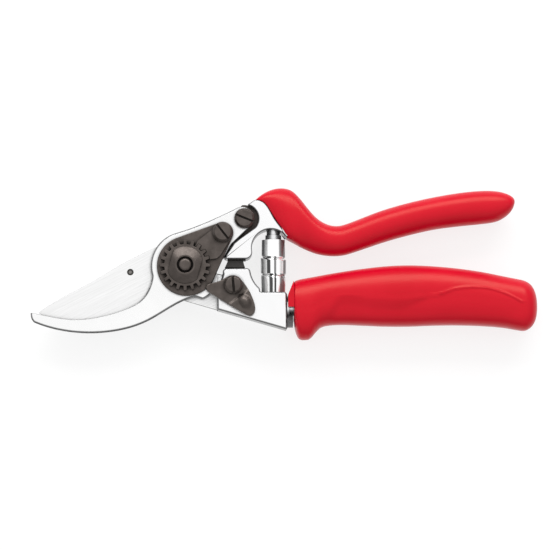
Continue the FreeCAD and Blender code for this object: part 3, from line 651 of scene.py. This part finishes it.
# Revolving grip, in mm: X, top Y, bottom Y, half thickness
LOWER_RINGS = [
    (45.45, -6.8, -22.6, 8.4),
    (45.8, -6.2, -25.6, 8.8),
    (46.5, -5.8, -28.3, 9.1),
    (47.4, -5.5, -30.0, 9.2),
    (48.6, -5.2, -30.7, 9.3),
    (50.2, -4.9, -30.75, 9.4),
    (51.7, -4.6, -30.5, 9.4),
    (53.0, -4.4, -29.5, 9.4),
    (54.6, -4.1, -27.6, 9.3),
    (56.8, -3.7, -25.6, 9.3),
    (60.0, -3.1, -24.7, 9.3),
    (66.0, -2.1, -24.4, 9.5),
    (74.0, -0.9, -24.7, 9.8),
    (84.0, 0.2, -25.1, 10.0),
    (94.0, 0.6, -25.1, 10.0),
    (104.0, 0.2, -24.7, 10.0),
    (114.0, -0.7, -24.6, 9.9),
    (124.0, -2.1, -24.9, 9.7),
    (133.0, -3.9, -25.6, 9.4),
    (139.5, -5.2, -26.7, 8.9),
    (142.4, -5.9, -26.9, 8.3),
    (144.6, -7.2, -25.8, 7.2),
    (146.0, -9.0, -24.1, 5.9),
    (146.9, -11.2, -22.0, 4.3),
    (147.4, -13.5, -19.5, 2.4),
]
# The crease across the revolving grip's face, in mm: a long soft rise, then an arch
CREASE = [
    (45.0, -18.2), (52.0, -18.2), (56.5, -15.8), (62.4, -12.2), (70.0, -11.7), (77.0, -12.5), (86.0, -13.2),
    (96.0, -12.7), (106.5, -11.0), (112.0, -9.3), (118.0, -8.5), (125.0, -8.7), (130.0, -9.8), (135.3, -11.8),
    (140.0, -14.3),
]
CREASE_POINTS = through(CREASE, 281)


def crease_height(x):
    """The Y of the crease at an X, in mm."""
    for (low, a), (high, b) in zip(CREASE_POINTS, CREASE_POINTS[1:]):
        if x <= high:
            return mix(a, b, clamp((x - low) / (high - low)))
    return CREASE_POINTS[-1][1]


def scoop_depth(x, y, out):
    """How far the face is hollowed below the crease, in mm. out is the distance from the middle plane."""
    collar = smooth(0.0, 4.5, x - 56.5 - 0.42 * (y + 26.0))
    crisp = smooth(88.0, 106.0, x)
    over = y - crease_height(x)
    below = smooth(0.0, mix(6.0, 1.4, crisp), -over)
    end = 1 - smooth(138.5, 143.0, x)
    lower = smooth(-25.5, -18.5, y)
    face = smooth(3.0, 7.0, out)
    ridge = mix(0.1, 0.55, crisp) * clamp(1 - over / 9.0) * smooth(-1.6, 0.0, over)
    hollow = mix(0.9, 0.6, crisp) * collar * below * lower
    return (hollow - ridge) * end * face


def make_lower_grip():
    """The red revolving grip: a flared mouth, a full belly and a face hollowed below a crease."""
    rings = []
    for x, top_y, low_y, half in through(LOWER_RINGS, 240):
        top = Vector((x * MM, top_y * MM, 0))
        bottom = Vector((x * MM, low_y * MM, 0))
        rings.append(section_ring(top, bottom, GRIP_LEVEL, half * MM, (2.15, 2.8),
                                  steps=FINE_RING_STEPS))
    piece = tube_of_rings("revolving_grip_cover", rings)
    for vertex in piece.data.vertices:
        side = (vertex.co.z - GRIP_LEVEL) / MM
        depth = scoop_depth(vertex.co.x / MM, vertex.co.y / MM, abs(side))
        vertex.co.z -= math.copysign(depth * MM, side)
    return piece


# ---------------------------------------------------------------- spring

# Outer radius of the strip at places up the spring: share of the height, radius in mm
SPRING_BANDS = [
    (0.0, 4.95), (0.30, 5.15), (0.34, 4.75), (0.36, 5.25), (0.64, 5.30), (0.67, 4.55), (0.70, 4.95),
    (1.0, 4.85),
]
SPRING_THICKNESS = 0.55
SPRING_STEPS = 72
SPRING_LEVELS = 90


def spring_radius(share):
    """The outer radius in mm at a share of the spring's height."""
    for (low, a), (high, b) in zip(SPRING_BANDS, SPRING_BANDS[1:]):
        if share <= high:
            return mix(a, b, smooth(low, high, share))
    return SPRING_BANDS[-1][1]


def make_volute_spring():
    """A flat strip wound as a volute: three turns, each sliding into the next behind a slanted edge."""
    around = SPRING_STEPS
    rings = []
    for side in (0, 1):
        for step in range(SPRING_LEVELS + 1):
            level = step / SPRING_LEVELS if side == 0 else 1 - step / SPRING_LEVELS
            ends = smooth(0.0, 0.1, level) * smooth(0.0, 0.1, 1 - level)
            ring = []
            for turn in range(around):
                angle = 2 * math.pi * turn / around
                slant = 0.035 * math.sin(angle + 0.5) * ends
                radius = spring_radius(clamp(level + slant)) - side * SPRING_THICKNESS
                x = SPRING_X + radius * MM * math.cos(angle)
                z = SPRING_Z + radius * MM * math.sin(angle)
                ring.append(Vector((x, mix(SPRING_LOW.y, SPRING_HIGH.y, level), z)))
            rings.append(ring)
    vertices = [point for ring in rings for point in ring]
    faces = []
    count = len(rings)
    for ring in range(count):
        following = (ring + 1) % count
        for step in range(around):
            beside = (step + 1) % around
            faces.append((ring * around + step, ring * around + beside,
                          following * around + beside, following * around + step))
    return mesh_object("volute_spring_strip", vertices, faces, 40)


# ---------------------------------------------------------------- thumb catch

# The catch, in mm: its outline, where its face steps up, its bump, and a point well inside it
CATCH_OUTLINE = [
    (8.55, -9.2), (9.6, -7.9), (14.2, -6.6), (17.6, -4.8), (19.8, -4.2), (22.3, -5.1), (26.0, -9.6),
    (28.7, -15.6), (29.0, -19.2), (27.4, -21.0), (25.2, -20.6), (18.7, -16.8), (11.6, -12.4), (9.2, -10.7),
    (8.55, -9.2),
]
CREASE_START = (21.7, -13.3)
BUMP_CENTRE = (24.9, -15.2)
CATCH_INSIDE = (22.0, -12.0)
CATCH_THICKNESS = 2.5


def catch_top(x, y):
    """Height of the catch's face above its flat level, in mm."""
    across = (x - CREASE_START[0]) * 0.61 - (y - CREASE_START[1]) * 0.79
    step = smooth(-0.3, 1.0, across)
    along = ((x - BUMP_CENTRE[0]) * 0.6 - (y - BUMP_CENTRE[1]) * 0.8) / 3.6
    side = ((x - BUMP_CENTRE[0]) * 0.8 + (y - BUMP_CENTRE[1]) * 0.6) / 2.8
    dome = max(0.0, 1 - along * along - side * side) ** 1.5
    return 0.6 * step + 1.5 * dome


# Rings on the catch's face, as shares of the way from the inside point to the outline
CATCH_SHARES = (
    1.0, 0.985, 0.95, 0.90, 0.85, 0.80, 0.75, 0.70, 0.65, 0.60, 0.55, 0.50, 0.45, 0.40, 0.35, 0.30,
    0.20, 0.10, 0.04,
)


def make_thumb_catch():
    """The pressed lever, its raised thumb end and its oval bump."""
    flat = CATCH_LOW.z + CATCH_THICKNESS * MM
    centre = Vector((*CATCH_INSIDE, 0))
    outline = [Vector((x, y, 0)) for x, y in through(CATCH_OUTLINE, 181)][:-1]
    low_rings = []
    for share in (0.04, 0.5, 0.975):
        low_rings.append([Vector((*(centre.lerp(point, share) * MM).xy, CATCH_LOW.z))
                          for point in outline])
    rim = CATCH_LOW.z + 0.3 * MM
    low_rings.append([Vector((point.x * MM, point.y * MM, rim)) for point in outline])
    top_rings = []
    for share in CATCH_SHARES:
        ring = []
        for point in outline:
            spot = centre.lerp(point, share)
            level = flat + catch_top(spot.x, spot.y) * MM
            if share == 1.0:
                level -= 0.35 * MM
            elif share == 0.985:
                level -= 0.08 * MM
            ring.append(Vector((spot.x * MM, spot.y * MM, level)))
        top_rings.append(ring)
    return tube_of_rings("thumb_catch_lever", low_rings + top_rings, 0, 50)


# ---------------------------------------------------------------- floor, light and camera

FLOOR_HALF_SIZE = 3.0
FLOOR_GAP = 0.2 * MM
TENT_STRENGTH = 1.06
SOFTBOX_POWER = 9.0
# The camera's lean in degrees, its distance in metres and what it frames
VIEW_TILT_X = 1.4
VIEW_TILT_Y = 4.9
VIEW_DISTANCE = 1.1
FRAME_WIDTH = 229.7 * MM
FRAME_CENTRE = (37.47 * MM, -3.80 * MM, 14.5 * MM)
SENSOR = 36.0


def make_floor():
    size = FLOOR_HALF_SIZE
    lowest = cad_box[0][2] - FLOOR_GAP
    corners = [(-size, -size, lowest), (size, -size, lowest), (size, size, lowest), (-size, size, lowest)]
    floor = mesh_object("floor", corners, [(0, 1, 2, 3)])
    floor.data.materials.append(floor_material())


def area_light(name, place, target, size, power):
    data = bpy.data.lights.new(name, "AREA")
    data.shape = "RECTANGLE"
    data.size = size[0]
    data.size_y = size[1]
    data.energy = power
    lamp = bpy.data.objects.new(name, data)
    bpy.context.scene.collection.objects.link(lamp)
    lamp.location = place
    lamp.rotation_euler = (Vector(target) - Vector(place)).to_track_quat("-Z", "Y").to_euler()
    return lamp


def make_lights():
    """A tent, dimmer low down and on the lower handle's side, and a softbox beyond the upper handle."""
    world = bpy.data.worlds.new("studio")
    bpy.context.scene.world = world
    world.use_nodes = True
    tree = world.node_tree
    background = tree.nodes["Background"]
    coordinates = tree.nodes.new("ShaderNodeTexCoord")
    direction = coordinates.outputs["Generated"]
    height = ramp(tree, part_of(tree, direction, "Z"),
                  [(0.0, grey(0.35)), (0.30, grey(0.45)), (0.6, grey(1.0))])
    side = ramp(tree, unsigned(tree, part_of(tree, direction, "Y")),
                [(0.0, grey(0.78)), (0.34, grey(0.82)), (0.52, grey(1.0))])
    tree.links.new(multiplied(tree, height, side), background.inputs["Color"])
    background.inputs["Strength"].default_value = TENT_STRENGTH
    area_light("softbox", (0.05, 0.75, 0.55), (0.04, 0.0, 0.01), (1.3, 0.45), SOFTBOX_POWER)


def make_camera():
    """Above the front face, leaning a little towards the jaws and the lower handle."""
    lean_x = math.tan(math.radians(VIEW_TILT_X))
    lean_y = math.tan(math.radians(VIEW_TILT_Y))
    back = Vector((-lean_x, -lean_y, 1)).normalized()
    right = (Vector((1, 0, 0)) - back * back.x).normalized()
    up = back.cross(right)
    data = bpy.data.cameras.new("camera")
    data.sensor_width = SENSOR
    data.lens = SENSOR * VIEW_DISTANCE / FRAME_WIDTH
    camera = bpy.data.objects.new("camera", data)
    bpy.context.scene.collection.objects.link(camera)
    place = Vector(FRAME_CENTRE) + back * VIEW_DISTANCE
    camera.matrix_world = Matrix((
        (right.x, up.x, back.x, place.x),
        (right.y, up.y, back.y, place.y),
        (right.z, up.z, back.z, place.z),
        (0, 0, 0, 1),
    ))
    data.clip_start = 0.01
    bpy.context.scene.camera = camera
    bpy.context.scene.view_settings.view_transform = "Standard"


# ---------------------------------------------------------------- the whole

paint_cad_nodes()
make_machined_pieces()
settle(make_upper_grip(), "upper_grip")
settle(make_lower_grip(), "grip_cover")
settle(make_thumb_catch(), "thumb_catch")
spring = make_volute_spring()
paint(spring, "spring_chrome")
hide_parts("volute_spring")
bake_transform(spring)
make_floor()
make_lights()
make_camera()
